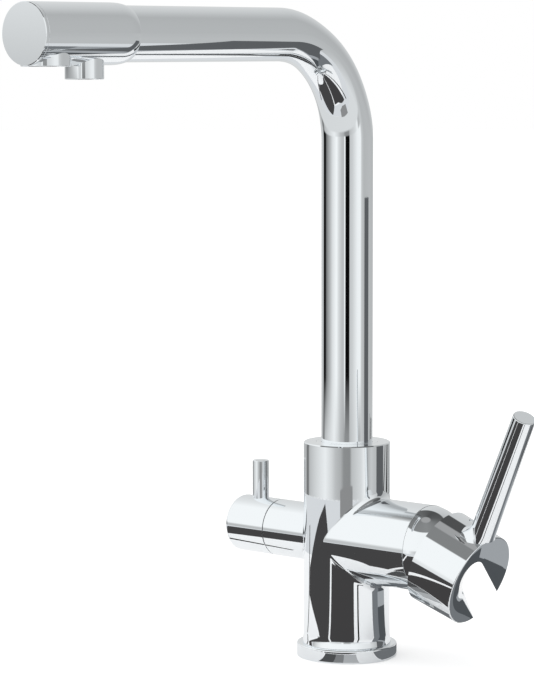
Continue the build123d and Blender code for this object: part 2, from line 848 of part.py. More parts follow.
def filter_moving_disc():
    """The pocket that joins the two ports lies a quarter turn away from them while the tap is shut."""
    bridge = Box(2 * (valve_port_side + valve_port_radius), 2 * valve_port_radius, valve_disc_thickness)
    disc = rod(valve_disc_radius, valve_turn_low, valve_head_low)
    return on_filter_arm(disc - Pos(0, valve_port_drop, valve_turn_low) * bridge)


def filter_spindle():
    head = rod(spindle_head_radius, valve_head_low, valve_high - valve_roof - run_gap)
    return on_filter_arm(head + rod(spindle_radius, valve_head_low, spindle_end))


def filter_valve_gland():
    low = valve_high + seat_gap
    gland = rod(gland_radius, low, low + gland_length) + hexagon(gland_hex, low, filter_arm_end - seat_gap)
    return on_filter_arm(gland - rod(spindle_radius + clear_gap, low - over, filter_arm_end))


def filter_knob():
    knob = fillet(top_edges(rod(filter_arm_radius, knob_start, knob_end)), knob_edge)
    knob -= rod(spindle_radius + run_gap, knob_start - over, spindle_end + seat_gap)
    knob -= rod(filter_arm_radius - knob_rim, knob_start - over, knob_start + knob_mouth)
    knob = on_filter_arm(knob)
    knob -= filter_pin_line(filter_pin_radius + run_gap, filter_pin_seat, filter_pin_top)
    return knob - knob_screw_line(knob_screw_radius + run_gap, -2 * filter_arm_radius, 0)


def filter_pin_line(radius, start, end):
    return Pos(-filter_pin_reach, 0, arm_height) * rod(radius, start, end)


def knob_screw_line(radius, start, end):
    return Pos(-knob_screw_reach, 0, arm_height) * rod(radius, start, end)


def filter_pin():
    pin = filter_pin_line(filter_pin_radius, filter_pin_seat + run_gap, filter_pin_top)
    return fillet(top_edges(pin), filter_pin_edge)


def filter_knob_screw():
    low = knob_screw_sink - filter_arm_radius
    screw = knob_screw_line(knob_screw_radius, low, -spindle_radius - run_gap)
    return screw - knob_screw_line(knob_screw_key, low - over, low + knob_screw_key_depth)


# ---- write one file for each piece ----
pieces = [
    base_ring, base_gasket, body_shell, lower_swivel_seat, collar_nut, collar_washer, spigot_seal,
    spout_tube, spout_foot, spout_seals, upper_swivel_bush, filter_water_tube,
    nozzle_head, nozzle_end_cap, filter_elbow, aerator_housing, aerator_insert, aerator_washer,
    filter_outlet_housing, filter_outlet_insert, filter_outlet_washer,
    cartridge_housing, cartridge_seals, fixed_disc, moving_disc, disc_carrier, turning_guide, stem_pin,
    cartridge_stem, cartridge_nut, dome_cap, handle_hub, handle_lever, hub_screw, hub_screw_plug,
    filter_valve_housing, filter_valve_seals, filter_fixed_disc, filter_moving_disc, filter_spindle,
    filter_valve_gland, filter_knob, filter_knob_screw, filter_pin,
]

os.makedirs("parts", exist_ok=True)
for piece in pieces:
    made = piece()
    shapes = made if isinstance(made, list) else [made]
    solids = [solid for shape in shapes for solid in shape.solids()]
    whole = solids[0] if len(solids) == 1 else Compound(children=solids)
    whole.label = piece.__name__
    export_step(whole, f"parts/{piece.__name__}.step")
    print(f"{piece.__name__}: {len(solids)} solid, {sum(solid.volume for solid in solids):.0f} mm3")
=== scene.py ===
import math
import bpy
import bmesh
import json
import numpy as np
from mathutils import Matrix, Vector


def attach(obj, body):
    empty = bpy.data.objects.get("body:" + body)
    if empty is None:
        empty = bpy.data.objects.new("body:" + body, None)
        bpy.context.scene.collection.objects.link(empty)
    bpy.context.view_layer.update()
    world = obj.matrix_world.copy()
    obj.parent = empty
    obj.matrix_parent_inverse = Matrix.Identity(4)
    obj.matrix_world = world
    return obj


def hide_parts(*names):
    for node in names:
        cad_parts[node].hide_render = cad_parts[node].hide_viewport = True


# three way tap: sizes here are in millimetres, in the CAD's frame, and become metres in each mesh
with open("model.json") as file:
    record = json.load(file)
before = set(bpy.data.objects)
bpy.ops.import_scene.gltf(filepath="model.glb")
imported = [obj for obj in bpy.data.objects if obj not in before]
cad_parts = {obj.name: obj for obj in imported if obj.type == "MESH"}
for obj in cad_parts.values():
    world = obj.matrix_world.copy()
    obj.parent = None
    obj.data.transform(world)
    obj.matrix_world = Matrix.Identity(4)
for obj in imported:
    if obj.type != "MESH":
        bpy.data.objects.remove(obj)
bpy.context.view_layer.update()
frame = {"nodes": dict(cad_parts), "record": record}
millimetre = 0.001
scene = bpy.context.scene
print("stage: CAD loaded")


# materials
def newGroup(name, outputs):
    group = bpy.data.node_groups.new(name, "ShaderNodeTree")
    for label in outputs:
        group.interface.new_socket(name=label, in_out="OUTPUT", socket_type="NodeSocketFloat")
    amount = group.interface.new_socket(name="Amount", in_out="INPUT", socket_type="NodeSocketFloat")
    amount.default_value = 1.0
    return group


def node(tree, kind, **settings):
    made = tree.nodes.new(kind)
    for key, value in settings.items():
        if key in made.inputs:
            made.inputs[key].default_value = value
        else:
            setattr(made, key, value)
    return made


def math2(tree, operation, first, second=None, clamp=False):
    made = tree.nodes.new("ShaderNodeMath")
    made.operation = operation
    made.use_clamp = clamp
    for index, value in enumerate((first, second)):
        if value is None:
            continue
        if isinstance(value, (int, float)):
            made.inputs[index].default_value = value
        else:
            tree.links.new(value, made.inputs[index])
    return made.outputs[0]


# water marks: soft cloudy patches that dull the plating a little where drops have dried
def waterMarks():
    group = newGroup("waterMarks", ("Roughness",))
    start = group.nodes.new("NodeGroupInput")
    end = group.nodes.new("NodeGroupOutput")
    place = group.nodes.new("ShaderNodeTexCoord")
    cloud = node(group, "ShaderNodeTexNoise", Scale=38.0, Detail=3.0, Roughness=0.55)
    drops = node(group, "ShaderNodeTexVoronoi", Scale=160.0, feature="F1")
    group.links.new(place.outputs["Object"], cloud.inputs["Vector"])
    group.links.new(place.outputs["Object"], drops.inputs["Vector"])
    soft = math2(group, "MULTIPLY", math2(group, "SUBTRACT", cloud.outputs[0], 0.45, True), 0.12)
    spots = math2(group, "MULTIPLY", math2(group, "LESS_THAN", drops.outputs["Distance"], 0.16), 0.01)
    both = math2(group, "ADD", soft, spots)
    group.links.new(math2(group, "MULTIPLY", both, start.outputs["Amount"]), end.inputs["Roughness"])
    return group


# grain: fine noise for cast, moulded and fired surfaces
def surfaceGrain():
    group = newGroup("surfaceGrain", ("Height", "Tone"))
    start = group.nodes.new("NodeGroupInput")
    end = group.nodes.new("NodeGroupOutput")
    place = group.nodes.new("ShaderNodeTexCoord")
    fine = node(group, "ShaderNodeTexNoise", Scale=900.0, Detail=4.0, Roughness=0.6)
    broad = node(group, "ShaderNodeTexNoise", Scale=60.0, Detail=2.0)
    group.links.new(place.outputs["Object"], fine.inputs["Vector"])
    group.links.new(place.outputs["Object"], broad.inputs["Vector"])
    group.links.new(math2(group, "MULTIPLY", fine.outputs[0], start.outputs["Amount"]), end.inputs["Height"])
    group.links.new(broad.outputs[0], end.inputs["Tone"])
    return group


marksGroup = waterMarks()
grainGroup = surfaceGrain()


def chromeMaterial(name, look):
    material = bpy.data.materials.new(name)
    material.use_nodes = True
    tree = material.node_tree
    shader = tree.nodes["Principled BSDF"]
    shader.inputs["Base Color"].default_value = (*look["colour"], 1)
    shader.inputs["Metallic"].default_value = 1.0
    marks = tree.nodes.new("ShaderNodeGroup")
    marks.node_tree = marksGroup
    marks.inputs["Amount"].default_value = look["marks"]
    roughness = math2(tree, "ADD", marks.outputs["Roughness"], look["roughness"])
    tree.links.new(roughness, shader.inputs["Roughness"])
    return material


def grainMaterial(name, look):
    material = bpy.data.materials.new(name)
    material.use_nodes = True
    tree = material.node_tree
    shader = tree.nodes["Principled BSDF"]
    shader.inputs["Metallic"].default_value = look["metallic"]
    shader.inputs["Roughness"].default_value = look["roughness"]
    grain = tree.nodes.new("ShaderNodeGroup")
    grain.node_tree = grainGroup
    grain.inputs["Amount"].default_value = look["grain"]
    bump = node(tree, "ShaderNodeBump", Strength=0.35, Distance=0.0002)
    tree.links.new(grain.outputs["Height"], bump.inputs["Height"])
    tree.links.new(bump.outputs["Normal"], shader.inputs["Normal"])
    tone = node(tree, "ShaderNodeMix", data_type="RGBA")
    tone.inputs[6].default_value = (*look["colour"], 1)
    tone.inputs[7].default_value = (*[value * look["dark"] for value in look["colour"]], 1)
    tree.links.new(grain.outputs["Tone"], tone.inputs[0])
    tree.links.new(tone.outputs[2], shader.inputs["Base Color"])
    return material


materials = {
    "chrome": chromeMaterial("polishedChrome", {
        "colour": (0.90, 0.925, 0.945), "roughness": 0.018, "marks": 0.5}),
    "cast_brass": grainMaterial("castBrass", {
        "colour": (0.72, 0.52, 0.27), "dark": 0.8, "metallic": 1.0, "roughness": 0.38, "grain": 1.0}),
    "steel": grainMaterial("turnedSteel", {
        "colour": (0.62, 0.62, 0.63), "dark": 0.85, "metallic": 1.0, "roughness": 0.26, "grain": 0.6}),
    "ceramic": grainMaterial("firedCeramic", {
        "colour": (0.86, 0.85, 0.82), "dark": 0.96, "metallic": 0.0, "roughness": 0.2, "grain": 0.2}),
    "white_plastic": grainMaterial("whitePlastic", {
        "colour": (0.83, 0.84, 0.84), "dark": 0.95, "metallic": 0.0, "roughness": 0.42, "grain": 0.4}),
    "grey_plastic": grainMaterial("greyPlastic", {
        "colour": (0.30, 0.31, 0.33), "dark": 0.9, "metallic": 0.0, "roughness": 0.45, "grain": 0.5}),
    "black_rubber": grainMaterial("blackRubber", {
        "colour": (0.025, 0.025, 0.027), "dark": 0.8, "metallic": 0.0, "roughness": 0.6, "grain": 0.8}),
}
slotOf = {part["node"]: part["material_slot"] for part in frame["record"]["subparts"]}
for name, obj in frame["nodes"].items():
    obj.data.materials.clear()
    obj.data.materials.append(materials[slotOf[name]])
print("stage: materials")


# mesh helpers
def gridFaces(rows, columns, closeRows, closeColumns, first):
    row = np.arange(rows if closeRows else rows - 1)
    column = np.arange(columns if closeColumns else columns - 1)
    row, column = np.meshgrid(row, column, indexing="ij")
    nextRow, nextColumn = (row + 1) % rows, (column + 1) % columns
    corners = (row * columns + column, row * columns + nextColumn,
               nextRow * columns + nextColumn, nextRow * columns + column)
    return first + np.stack(corners, -1).reshape(-1, 4)


# a grid is (points in rows and columns, rows close, columns close);
# the grids of one piece are welded where they meet
def addPiece(name, body, material, grids, replaced=(), extra=None, crease=32):
    points, faces, first = [], [], 0
    for grid, closeRows, closeColumns in grids:
        rows, columns = grid.shape[:2]
        points.append(grid.reshape(-1, 3))
        faces.append(gridFaces(rows, columns, closeRows, closeColumns, first))
        first += rows * columns
    mesh = bpy.data.meshes.new(name)
    mesh.from_pydata((np.concatenate(points) * millimetre).tolist(), [], np.concatenate(faces).tolist())
    welder = bmesh.new()
    welder.from_mesh(mesh)
    if extra is not None:
        welder.from_mesh(extra)
    bmesh.ops.remove_doubles(welder, verts=welder.verts, dist=1e-6)
    bmesh.ops.recalc_face_normals(welder, faces=welder.faces)
    welder.to_mesh(mesh)
    welder.free()
    mesh.shade_smooth()
    mesh.set_sharp_from_angle(angle=math.radians(crease))
    mesh.materials.append(materials[material])
    obj = bpy.data.objects.new(name, mesh)
    scene.collection.objects.link(obj)
    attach(obj, body)
    if replaced:
        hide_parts(*replaced)
    return obj


# corners are (across, along, rounding); each rounded one becomes an arc with a hold point beyond each end
def rounded(corners, closed=True, steps=5, hold=0.04):
    out = []
    count = len(corners)
    for index, (across, along, edge) in enumerate(corners):
        point = np.array((across, along), float)
        atEnd = not closed and index in (0, count - 1)
        if edge == 0 or atEnd:
            out.append(point[None])
            continue
        before = np.array(corners[index - 1][:2]) - point
        after = np.array(corners[(index + 1) % count][:2]) - point
        before, after = before / np.linalg.norm(before), after / np.linalg.norm(after)
        half = math.acos(np.clip(before @ after, -1, 1)) / 2
        reach = edge / math.tan(half)
        centre = point + (before + after) / np.linalg.norm(before + after) * edge / math.sin(half)
        first, last = point + before * reach - centre, point + after * reach - centre
        spread = math.pi - 2 * half
        share = np.linspace(0, 1, steps + 1)[:, None]
        towardsFirst, towardsLast = np.sin((1 - share) * spread), np.sin(share * spread)
        arc = centre + (towardsFirst * first + towardsLast * last) / math.sin(spread)
        out += [(point + before * (reach + hold))[None], arc, (point + after * (reach + hold))[None]]
    return np.concatenate(out)


# a profile of (radius, height) goes round an axis: p = origin + z*axis + r*(cos a * side + sin a * across)
def turnedGrid(profile, origin, axis, side, count=192, closed=True):
    axis, side, origin = np.array(axis, float), np.array(side, float), np.array(origin, float)
    across = np.cross(axis, side)
    angle = np.linspace(0, 2 * np.pi, count, endpoint=False)
    round_ = np.cos(angle)[:, None] * side + np.sin(angle)[:, None] * across
    grid = origin + profile[:, None, 1:2] * axis + profile[:, None, 0:1] * round_[None]
    return grid, closed, True


up, right, forward = (0, 0, 1), (1, 0, 0), (0, -1, 0)
# both arms lie at one height, and the handle tilts about the pivot
armHigh = 58.3
pivot = (49.2, 0, armHigh)

# base ring, with the groove for its gasket
ring = {"radius": 24.5, "height": 6.5, "edge": 0.8, "bore": 18.7,
        "grooveIn": 20.45, "grooveOut": 22.65, "groove": 2.0}
ringCorners = [
    (ring["bore"], 0, 0.15), (ring["grooveIn"], 0, 0.1), (ring["grooveIn"], ring["groove"], 0),
    (ring["grooveOut"], ring["groove"], 0), (ring["grooveOut"], 0, 0.1), (ring["radius"], 0, 0.2),
    (ring["radius"], ring["height"], ring["edge"]), (ring["bore"], ring["height"], 0.15),
]
addPiece("baseRing", "tap_body", "chrome",
         [turnedGrid(rounded(ringCorners), (0, 0, 0), up, right, 256)], ["base_ring"])

# body: an upright with two round arms, each joined by a rolling-ball fillet
bodySize = {
    "radius": 21.15, "low": 6.5, "flareHigh": 10.5, "flare": 0.6, "high": 105.6, "edge": 0.5,
    "collarBore": 15.05, "collarLow": 98.3, "socket": 14.6, "socketLow": 72.0,
    "chamber": 7.0, "chamberLow": 61.3, "tubeBore": 4.05, "tubeLow": 52.4,
    "foot": 18.6, "stud": 3.4, "studDeep": 26.0,
    "inlet": 4.5, "inletDeep": 14.0, "inletCircle": 11.4, "inletAngles": (60, -60, 190),
}
arms = {
    "mixer": {"radius": 21.0, "end": 51.7, "blend": 3.5, "turn": 0,
              "mouth": ((18.9, 47.0), (18.0, 47.0), (18.0, 44.0), (0, 44.0))},
    "filter": {"radius": 14.1, "end": 42.8, "blend": 1.5, "turn": 180,
               "mouth": ((11.5, 35.0), (0, 35.0))},
}
around, filletRows, barrelRows, patchRows = 384, 15, 26, 29
theta = np.linspace(0, 2 * np.pi, around, endpoint=False)
patchHigh = bodySize["high"] - bodySize["edge"]
patchLow = bodySize["flareHigh"]


def turnedAbout(points, degrees):
    sine, cosine = math.sin(math.radians(degrees)), math.cos(math.radians(degrees))
    x, y, z = points[..., 0], points[..., 1], points[..., 2]
    return np.stack((x * cosine - y * sine, x * sine + y * cosine, z), -1)


# ball centre c = (sqrt((R+r)^2 - ((q+r) sin t)^2), (q+r) sin t, h + (q+r) cos t)
# for body R, arm q and ball r at the arm's height h;
# the fillet is c + r * slerp(n1, n2, u), where n1 points at the arm's axis and n2 at the body's
def armGrids(arm):
    radius, blend, bodyRadius = arm["radius"], arm["blend"], bodySize["radius"]
    sine, cosine = np.sin(theta), np.cos(theta)
    y = (radius + blend) * sine
    x, z = np.sqrt((bodyRadius + blend) ** 2 - y ** 2), armHigh + (radius + blend) * cosine
    centre = np.stack((x, y, z), -1)
    toArm = np.stack((0 * theta, -sine, -cosine), -1)
    toBody = -np.stack((centre[:, 0], centre[:, 1], 0 * theta), -1) / (bodyRadius + blend)
    spread = np.arccos(np.clip((toArm * toBody).sum(-1), -1, 1))[:, None]
    share = np.linspace(0, 1, filletRows)[:, None, None]
    between = np.sin((1 - share) * spread) * toArm + np.sin(share * spread) * toBody
    fillet = centre + blend * between / np.sin(spread)

    # the arm from the fillet to its end, then over the rim into the mouth
    start = centre + blend * toArm
    share = np.linspace(0, 1, barrelRows)[:, None, None] ** 1.3
    end, rimEdge = arm["end"], 0.2
    beforeRim = end - 0.3
    rimStart = np.stack((beforeRim + 0 * theta, start[:, 1], start[:, 2]), -1)
    barrel = start + share * (rimStart - start)
    mouth = arm["mouth"]
    profile = rounded([(radius, beforeRim, 0), (radius, end, rimEdge), (mouth[0][0], end, rimEdge)]
                      + [(*corner, 0) for corner in mouth], closed=False)
    spokes = np.stack((0 * theta, sine, cosine), -1)
    rim = np.array((0, 0, armHigh)) + profile[:, None, 1:2] * np.array(right)
    rim = rim + profile[:, None, 0:1] * spokes

    # the body round the fillet, from its loop out to a rectangle in angle and height
    loop = centre + blend * toBody
    angle, high = np.arctan2(loop[:, 1], loop[:, 0]), loop[:, 2]
    largest = np.maximum(abs(sine), abs(cosine))
    edgeAngle = np.pi / 2 * sine / largest
    edgeHigh = armHigh + np.where(cosine > 0, patchHigh - armHigh, armHigh - patchLow) * cosine / largest
    share = np.linspace(0, 1, patchRows)[:, None] ** 1.2
    angle = angle + share * (edgeAngle - angle)
    high = high + share * (edgeHigh - high)
    patch = np.stack((bodyRadius * np.cos(angle), bodyRadius * np.sin(angle), high), -1)
    grids = [(barrel, False, True), (fillet, False, True), (rim, False, True), (patch, False, True)]
    return [(turnedAbout(points, arm["turn"]), *ends) for points, *ends in grids]


def ringOf(angles, profile):
    spokes = np.stack((np.cos(angles), np.sin(angles), 0 * angles), -1)
    return profile[:, None, 0:1] * spokes + profile[:, None, 1:2] * np.array(up)


quarter = np.tan(np.linspace(-np.pi / 4, np.pi / 4, around // 4 + 1))[:-1] * np.pi / 2
edgeAngles = np.concatenate((quarter, quarter + np.pi))
topProfile = rounded([
    (bodySize["radius"], patchHigh, 0), (bodySize["radius"] - bodySize["edge"], bodySize["high"], 0.12),
    (bodySize["collarBore"], bodySize["high"], 0.15), (bodySize["collarBore"], bodySize["collarLow"], 0),
    (bodySize["socket"], bodySize["collarLow"], 0), (bodySize["socket"], bodySize["socketLow"], 0),
    (bodySize["chamber"], bodySize["socketLow"], 0), (bodySize["chamber"], bodySize["chamberLow"], 0),
    (bodySize["tubeBore"], bodySize["chamberLow"], 0), (bodySize["tubeBore"], bodySize["tubeLow"], 0),
    (0, bodySize["tubeLow"], 0)], closed=False)
footProfile = rounded([
    (bodySize["radius"], patchLow, 0), (bodySize["radius"] + bodySize["flare"], bodySize["low"], 0.15),
    (bodySize["foot"], bodySize["low"], 0), (bodySize["foot"], 0, 0)], closed=False)
halfWay = footProfile[:1] * 0.5 + footProfile[1:2] * 0.5
footProfile = np.concatenate((footProfile[:1], halfWay, footProfile[1:]))


def loopPoints(angles, radius, x, y):
    return np.stack((x + radius * np.cos(angles), y + radius * np.sin(angles)), -1)


# the foot's underside is a flat shape with the stud's and the hoses' holes in it
def footPlate(holes):
    curve = bpy.data.curves.new("footOutline", "CURVE")
    curve.dimensions = "2D"
    curve.fill_mode = "BOTH"
    for outline in [loopPoints(edgeAngles, bodySize["foot"], 0, 0)] + holes:
        spline = curve.splines.new("POLY")
        spline.points.add(len(outline) - 1)
        flat = np.zeros((len(outline), 4))
        flat[:, :2] = outline * millimetre
        flat[:, 3] = 1
        spline.points.foreach_set("co", flat.ravel())
        spline.use_cyclic_u = True
    holder = bpy.data.objects.new("footOutline", curve)
    scene.collection.objects.link(holder)
    bpy.context.view_layer.update()
    plate = bpy.data.meshes.new_from_object(holder.evaluated_get(bpy.context.evaluated_depsgraph_get()))
    bpy.data.objects.remove(holder)
    return plate


holeAngles = np.linspace(0, 2 * np.pi, 48, endpoint=False)
holeSpots = [(bodySize["stud"], bodySize["studDeep"], 0, 0)]
for degrees in bodySize["inletAngles"]:
    x = bodySize["inletCircle"] * math.cos(math.radians(degrees))
    y = bodySize["inletCircle"] * math.sin(math.radians(degrees))
    holeSpots.append((bodySize["inlet"], bodySize["inletDeep"], x, y))
holeLoops = [loopPoints(holeAngles, radius, x, y) for radius, deep, x, y in holeSpots]
holeGrids = []
for radius, deep, x, y in holeSpots:
    wall = ringOf(holeAngles, np.array(((radius, 0), (radius, deep), (0, deep)))) + np.array((x, y, 0))
    holeGrids.append((wall, False, True))
bodyGrids = armGrids(arms["mixer"]) + armGrids(arms["filter"])
bodyGrids += [(ringOf(edgeAngles, topProfile), False, True), (ringOf(edgeAngles, footProfile), False, True)]
addPiece("bodyShell", "tap_body", "chrome", bodyGrids + holeGrids, ["body_shell"], extra=footPlate(holeLoops))
print("stage: body")

# collar nut
collar = {"radius": 15.0, "bore": 12.55, "low": 99.0, "high": 105.6}
collarCorners = [
    (collar["bore"], collar["low"], 0.1), (collar["radius"], collar["low"], 0.1),
    (collar["radius"], collar["high"], 0.15), (collar["bore"], collar["high"], 0.3),
]
addPiece("collarNut", "tap_body", "chrome",
         [turnedGrid(rounded(collarCorners), (0, 0, 0), up, right, 192)], ["collar_nut"])

# dome cap behind the handle: a slice of a ball about the pivot
dome = {"radius": 21.0, "wall": 1.6, "low": 2.6, "high": 13.4,
        "skirt": 18.85, "skirtLow": -1.7, "skirtIn": 17.8}


def ballArc(radius, first, last, count):
    angle = np.linspace(math.asin(first / radius), math.asin(last / radius), count)
    return np.stack((radius * np.cos(angle), radius * np.sin(angle)), -1)


outer = ballArc(dome["radius"], dome["low"], dome["high"], 22)
inner = ballArc(dome["radius"] - dome["wall"], dome["high"], dome["low"] + dome["wall"], 14)
skirt = np.array((
    (dome["skirtIn"], dome["low"] + dome["wall"]), (dome["skirtIn"], dome["skirtLow"]),
    (dome["skirt"], dome["skirtLow"]), (dome["skirt"], dome["low"]),
))
domeProfile = np.concatenate((outer, inner, skirt))
addPiece("domeCap", "tap_body", "chrome", [turnedGrid(domeProfile, pivot, right, up, 192)], ["dome_cap"])

# spout tube: a flat oval section in the bend, round elsewhere
spout = {"radius": 12.5, "wall": 1.2, "low": 98.25, "bend": 51.0, "height": 302.8, "end": 163.5,
         "bendHalf": 11.55, "bendMiddle": 50.75, "ease": 34.0}


# the middle line runs up, round a quarter turn and forward; flat is 0 on the straight runs and 1 in the bend
def spoutPath():
    bendLow = spout["height"] - spout["bend"]
    rise = np.linspace(spout["low"], bendLow, 40)
    turn = np.linspace(0, np.pi / 2, 97)[1:-1]
    run = np.linspace(spout["bend"], spout["end"], 40)
    near = np.clip(np.minimum(turn, np.pi / 2 - turn) / math.radians(spout["ease"]), 0, 1)
    flat = near ** 3 * (near * (near * 6 - 15) + 10)
    radius = spout["bend"] + (spout["bendMiddle"] - spout["bend"]) * flat
    across = np.concatenate((0 * rise, spout["bend"] - radius * np.cos(turn), run))
    high = np.concatenate((rise, bendLow + radius * np.sin(turn), 0 * run + spout["height"]))
    outwardY = np.concatenate((0 * rise - 1, -np.cos(turn), 0 * run))
    outwardZ = np.concatenate((0 * rise, np.sin(turn), 0 * run + 1))
    flat = np.concatenate((0 * rise, flat, 0 * run))
    return across, high, outwardY, outwardZ, flat


def spoutGrid(radius, count=160):
    across, high, outY, outZ, flat = spoutPath()
    angle = np.linspace(0, 2 * np.pi, count, endpoint=False)
    half = radius + (spout["bendHalf"] - spout["radius"]) * flat
    side = radius * np.sin(angle)[None] + 0 * half[:, None]
    out = half[:, None] * np.cos(angle)[None]
    y = -(across[:, None] + outY[:, None] * out)
    z = high[:, None] + outZ[:, None] * out
    return np.stack((side, y, z), -1)


spoutSkin = np.concatenate((spoutGrid(spout["radius"]), spoutGrid(spout["radius"] - spout["wall"])[::-1]))
addPiece("spoutTube", "spout", "chrome", [(spoutSkin, True, True)], ["spout_tube"])
print("stage: spout")

# nozzle head: swells from the tube through a short shoulder
nozzle = {"radius": 13.7, "start": 155.5, "lip": 12.85, "seat": 12.55, "shoulder": 9.0, "slope": 0.3,
          "plain": 20, "cap": 212.0, "seam": 0.02, "end": 214.0, "bore": 11.7, "tubeEnd": 163.5,
          "edge": 0.4, "rounding": 0.12, "seamRounding": 0.1,
          "spigot": 11.65, "spigotIn": 10.15, "spigotLow": 207.0, "capFloor": 0.1}
spoutAxis = (0, 0, spout["height"])
# cubic between (lip, start) and (radius, start + shoulder), with slopes (slope, 1) and (0, 1)
t = np.linspace(0, 1, 25)[:, None]
chord = math.hypot(nozzle["shoulder"], nozzle["radius"] - nozzle["lip"])
slopeIn = np.array((nozzle["slope"], 1)) / math.hypot(nozzle["slope"], 1) * chord
slopeOut = np.array((0, 1)) * chord
shoulderStart = np.array((nozzle["lip"], nozzle["start"]))
shoulderEnd = np.array((nozzle["radius"], nozzle["start"] + nozzle["shoulder"]))
shoulder = ((2 * t ** 3 - 3 * t ** 2 + 1) * shoulderStart + (t ** 3 - 2 * t ** 2 + t) * slopeIn
            + (3 * t ** 2 - 2 * t ** 3) * shoulderEnd + (t ** 3 - t ** 2) * slopeOut)
headEnd, capStart = nozzle["cap"] - nozzle["seam"], nozzle["cap"] + nozzle["seam"]
barrel = rounded([
    (nozzle["radius"], nozzle["start"] + nozzle["plain"], 0),
    (nozzle["radius"], headEnd, nozzle["seamRounding"]),
    (nozzle["bore"], headEnd, 0), (nozzle["bore"], nozzle["tubeEnd"], 0),
    (nozzle["seat"], nozzle["tubeEnd"], 0), (nozzle["seat"], nozzle["start"], 0)], closed=False)
headProfile = np.concatenate((shoulder, barrel))
addPiece("nozzleHead", "spout", "chrome",
         [turnedGrid(headProfile, spoutAxis, forward, up, 256)], ["nozzle_head"])

capFloor = nozzle["cap"] + nozzle["capFloor"]
capProfile = rounded([
    (0, nozzle["end"], 0), (nozzle["radius"] - nozzle["edge"] / 2, nozzle["end"], nozzle["rounding"]),
    (nozzle["radius"], nozzle["end"] - nozzle["edge"], nozzle["rounding"]),
    (nozzle["radius"], capStart, nozzle["seamRounding"]), (nozzle["spigot"], capStart, 0),
    (nozzle["spigot"], nozzle["spigotLow"], 0), (nozzle["spigotIn"], nozzle["spigotLow"], 0),
    (nozzle["spigotIn"], capFloor, 0), (0, capFloor, 0)], closed=False)
addPiece("nozzleEndCap", "spout", "chrome",
         [turnedGrid(capProfile, spoutAxis, forward, up, 192, closed=False)], ["nozzle_end_cap"])

# outlets under the nozzle
outlets = {
    "aeratorHousing": {"node": "aerator_housing", "reach": 201.2, "radius": 11.0,
                       "drop": 14.1, "height": 8.9, "flat": 0, "flatHigh": 0},
    "filterOutlet": {"node": "filter_outlet_housing", "reach": 178.1, "radius": 8.6,
                     "drop": 19.8, "height": 12.8, "flat": 7.7, "flatHigh": 5.5},
}
outletWall, outletLedge, outletEdge, ledgeHigh = 1.6, 1.5, 0.5, 7.1
for name, outlet in outlets.items():
    bore, top, flat = outlet["radius"] - outletWall, outlet["height"], outlet["flat"]
    corners = [
        (bore, 0, 0.2), (outlet["radius"], 0, outletEdge), (outlet["radius"], top, 0.1),
        (bore - outletLedge, top, 0), (bore - outletLedge, ledgeHigh, 0), (bore, ledgeHigh, 0),
    ]
    origin = (0, -outlet["reach"], spout["height"] - outlet["drop"])
    grid, closeRows, closeColumns = turnedGrid(rounded(corners), origin, up, right, 192)
    if flat:
        # the spanner flats cut the lower part off square, front and back
        low = grid[..., 2] < origin[2] + outlet["flatHigh"]
        offset = grid[..., 1] - origin[1]
        grid[..., 1] = np.where(low, origin[1] + np.clip(offset, -flat, flat), grid[..., 1])
    addPiece(name, "spout", "chrome", [(grid, closeRows, closeColumns)], [outlet["node"]], crease=24)

# filter knob and its pin
knob = {"start": 43.2, "end": 68.3, "radius": 14.1, "edge": 2.0, "rim": 2.0, "mouth": 2.0,
        "bore": 3.65, "boreEnd": 55.1, "rounding": 0.15}
mouthEnd, mouthRadius = knob["start"] + knob["mouth"], knob["radius"] - knob["rim"]
knobProfile = rounded([
    (0, knob["boreEnd"], 0), (knob["bore"], knob["boreEnd"], 0), (knob["bore"], mouthEnd, 0),
    (mouthRadius, mouthEnd, 0), (mouthRadius, knob["start"], knob["rounding"]),
    (knob["radius"], knob["start"], knob["rounding"]), (knob["radius"], knob["end"], knob["edge"]),
    (0, knob["end"], 0)], closed=False, steps=10)
addPiece("filterKnob", "filter_handle", "chrome",
         [turnedGrid(knobProfile, (0, 0, armHigh), (-1, 0, 0), up, 224, closed=False)], ["filter_knob"])
pin = {"x": -56.4, "radius": 4.1, "low": 67.3, "high": 91.0, "edge": 0.4}
pinProfile = rounded([
    (0, pin["low"], 0), (pin["radius"], pin["low"], 0.1), (pin["radius"], pin["high"], pin["edge"]),
    (0, pin["high"], 0)], closed=False)
addPiece("filterPin", "filter_handle", "chrome",
         [turnedGrid(pinProfile, (pin["x"], 0, 0), up, right, 96, closed=False)], ["filter_pin"])
print("stage: knob")

# handle: hub and lever, tilted about the pivot and turned about the arm
handle = {"turn": 10.0, "tilt": 21.8}
hub = {"start": 8.5, "end": 33.2, "startRadius": 23.5, "endRadius": 22.7, "edge": 0.5}


def spun(axis, degrees):
    return np.array(Matrix.Rotation(math.radians(degrees), 3, Vector(axis)))


handleSpin = spun((1, 0, 0), handle["turn"]) @ spun((0, 1, 0), handle["tilt"])


def fromHandle(points):
    return points @ handleSpin.T + np.array(pivot)


def toHandle(points):
    return (points - np.array(pivot)) @ handleSpin


hubTaper = (hub["endRadius"] - hub["startRadius"]) / (hub["end"] - hub["start"])


